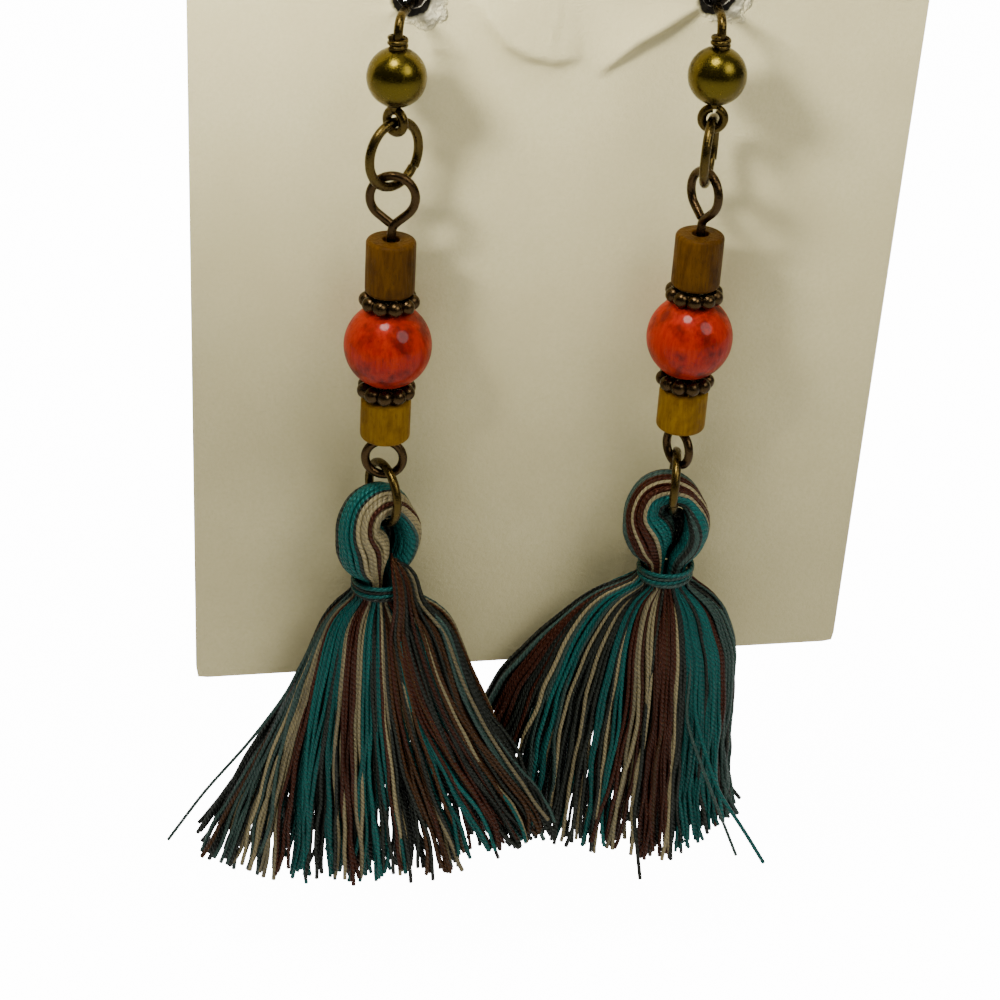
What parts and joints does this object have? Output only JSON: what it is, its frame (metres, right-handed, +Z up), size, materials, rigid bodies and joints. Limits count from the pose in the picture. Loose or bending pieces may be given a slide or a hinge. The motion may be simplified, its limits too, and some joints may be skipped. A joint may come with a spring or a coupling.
{
  "type": "pair of tassel earrings on a display card",
  "caption": "Pair of hook earrings, each with tube, spacer and round beads over a fanned thread tassel, hung through a plain rectangular display card.",
  "frame": {"origin": "centre of the display card's back face", "axes": "+Z up along the card, +X to the right seen from the front, +Y out of the card's back"},
  "size_m": [0.051, 0.0136, 0.0799],
  "materials": {
    "card_board": "cream coated card with a faint grain",
    "antique_brass": "antique olive brass, softly polished",
    "dark_bronze": "dark antique bronze with worn high spots",
    "brown_wood": "stained brown wood, satin",
    "red_wood": "orange red dyed wood, waxed",
    "yellow_wood": "mustard dyed wood, satin",
    "tassel_thread": "twisted cotton thread in teal, maroon brown, tan and grey green"
  },
  "bodies": {
    "held": {"card": "card_board", "left_ear_hook": "antique_brass", "left_hook_coil": "antique_brass", "left_hook_ball": "antique_brass", "right_ear_hook": "antique_brass", "right_hook_coil": "antique_brass", "right_hook_ball": "antique_brass", "right_upper_ring": "antique_brass"},
    "left_drop": {"left_upper_ring": "antique_brass", "left_eye_pin": "dark_bronze", "left_tube_bead_upper": "brown_wood", "left_spacer_upper": "dark_bronze", "left_round_bead": "red_wood", "left_spacer_lower": "dark_bronze", "left_tube_bead_lower": "yellow_wood", "left_lower_ring": "antique_brass", "left_tassel": "tassel_thread", "left_tassel_binding": "tassel_thread"},
    "right_drop": {"right_eye_pin": "dark_bronze", "right_tube_bead_upper": "brown_wood", "right_spacer_upper": "dark_bronze", "right_round_bead": "red_wood", "right_spacer_lower": "dark_bronze", "right_tube_bead_lower": "yellow_wood", "right_lower_ring": "antique_brass", "right_tassel": "tassel_thread", "right_tassel_binding": "tassel_thread"}
  },
  "joints": [
    {"name": "left_swing", "type": "hinge", "parent": "held", "child": "left_drop", "pos_m": [-0.01209, -0.00406, 0.01314], "axis": [-0.6157, 0.788, 0], "range_deg": [0, 30]},
    {"name": "right_swing", "type": "hinge", "parent": "held", "child": "right_drop", "pos_m": [0.00957, -0.00427, 0.00933], "axis": [-0.3907, -0.9205, 0], "range_deg": [0, 30]}
  ]
}
